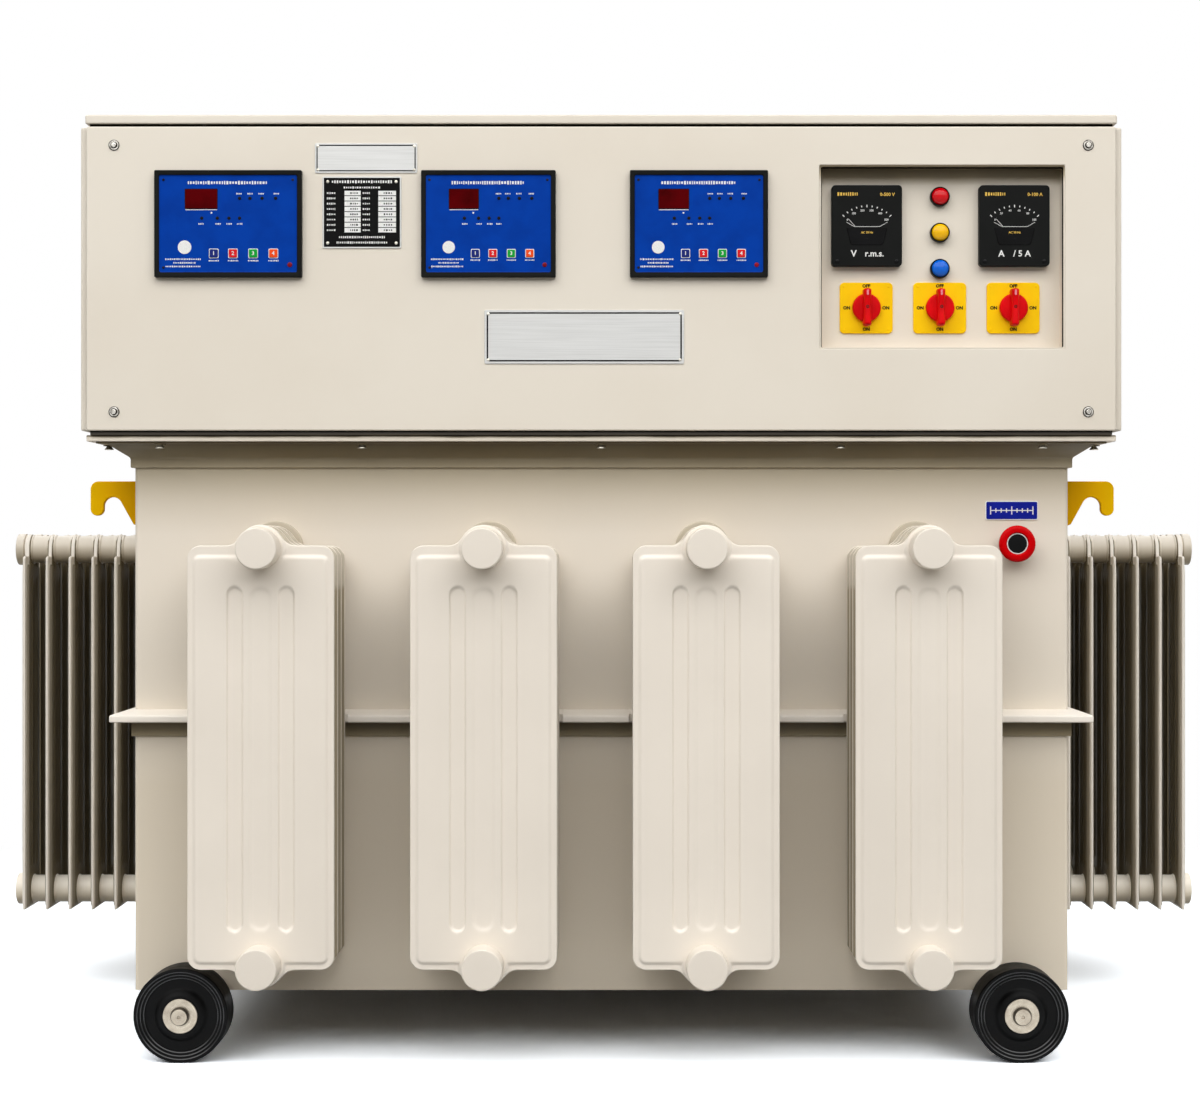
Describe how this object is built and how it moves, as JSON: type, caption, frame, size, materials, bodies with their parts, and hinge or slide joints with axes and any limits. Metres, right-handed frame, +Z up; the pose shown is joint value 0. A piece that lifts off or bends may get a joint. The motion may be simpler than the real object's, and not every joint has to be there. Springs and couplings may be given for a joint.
{
  "type": "servo voltage stabilizer",
  "caption": "Oil-cooled servo voltage stabilizer: square oil tank on wheels with finned radiators on every side and a control cabinet on top.",
  "frame": {"origin": "on the floor under the centre of the tank, at the height of the wheels' lowest points", "axes": "+Z up, the control panel faces -Y, +X to the right seen from the front"},
  "size_m": [1.9582, 1.6246, 1.356],
  "materials": {
    "tank_paint": "gloss beige enamel",
    "radiator_paint": "gloss beige enamel",
    "cabinet_paint": "semi-gloss beige powder coat",
    "yellow_paint": "gloss yellow enamel",
    "zinc": "zinc plated",
    "bright_steel": "turned",
    "dark_steel": "satin black paint",
    "chrome_screw": "nickel plated",
    "wheel_black": "gloss black enamel on cast iron",
    "gauge_red": "gloss red enamel",
    "label_blue": "printed label",
    "controller_blue": "printed polycarbonate overlay in a black bezel",
    "plate_silver": "etched",
    "meter_black": "moulded",
    "switch_yellow": "printed plate",
    "knob_red": "moulded"
  },
  "bodies": {
    "root": {"tank_body": "tank_paint", "rim_skirt": "tank_paint", "mounting_flange": "tank_paint", "flange_nuts": "zinc", "stiffener_rail": "tank_paint", "lifting_lugs": "yellow_paint", "oil_gauge": "gauge_red", "oil_label": "label_blue", "axle_brackets": "dark_steel", "axles": "bright_steel", "left_radiators": "radiator_paint", "right_radiators": "radiator_paint", "front_headers": "radiator_paint", "rear_headers": "radiator_paint", "left_headers": "radiator_paint", "right_headers": "radiator_paint", "cabinet_base_pan": "cabinet_paint", "cabinet_housing": "cabinet_paint", "cabinet_front_panel": "cabinet_paint", "cabinet_back_panel": "cabinet_paint", "cabinet_left_cover": "cabinet_paint", "cabinet_right_cover": "cabinet_paint", "cabinet_lid": "cabinet_paint", "cover_screws": "chrome_screw", "controller_left": "controller_blue", "controller_middle": "controller_blue", "controller_right": "controller_blue", "panel_plates": "plate_silver", "instrument_tray": "cabinet_paint", "voltmeter": "meter_black", "ammeter": "meter_black", "pilot_lamps": "meter_black", "switch_plates": "switch_yellow", "rear_radiators": "radiator_paint", "front_radiator_1": "radiator_paint", "front_radiator_2": "radiator_paint", "front_radiator_3": "radiator_paint", "front_radiator_4": "radiator_paint"},
    "wheel_front_left": {"wheel_front_left": "wheel_black"},
    "wheel_front_right": {"wheel_front_right": "wheel_black"},
    "wheel_rear_left": {"wheel_rear_left": "wheel_black"},
    "wheel_rear_right": {"wheel_rear_right": "wheel_black"},
    "knob_left": {"knob_left": "knob_red"},
    "knob_middle": {"knob_middle": "knob_red"},
    "knob_right": {"knob_right": "knob_red"}
  },
  "joints": [
    {"name": "wheel_front_left_spin", "type": "hinge", "parent": "root", "child": "wheel_front_left", "pos_m": [-0.6, -0.648, 0.0675], "axis": [0, 1, 0], "continuous": true},
    {"name": "wheel_front_right_spin", "type": "hinge", "parent": "root", "child": "wheel_front_right", "pos_m": [0.6, -0.648, 0.0675], "axis": [0, 1, 0], "continuous": true},
    {"name": "wheel_rear_left_spin", "type": "hinge", "parent": "root", "child": "wheel_rear_left", "pos_m": [-0.6, 0.648, 0.0675], "axis": [0, 1, 0], "continuous": true},
    {"name": "wheel_rear_right_spin", "type": "hinge", "parent": "root", "child": "wheel_rear_right", "pos_m": [0.6, 0.648, 0.0675], "axis": [0, 1, 0], "continuous": true},
    {"name": "knob_left_turn", "type": "hinge", "parent": "root", "child": "knob_left", "pos_m": [0.38255, -0.64, 1.08138], "axis": [0, -1, 0], "range_deg": [-180, 90]},
    {"name": "knob_middle_turn", "type": "hinge", "parent": "root", "child": "knob_middle", "pos_m": [0.48868, -0.64, 1.08138], "axis": [0, -1, 0], "range_deg": [-180, 90]},
    {"name": "knob_right_turn", "type": "hinge", "parent": "root", "child": "knob_right", "pos_m": [0.59481, -0.64, 1.08138], "axis": [0, -1, 0], "range_deg": [-180, 90]}
  ]
}
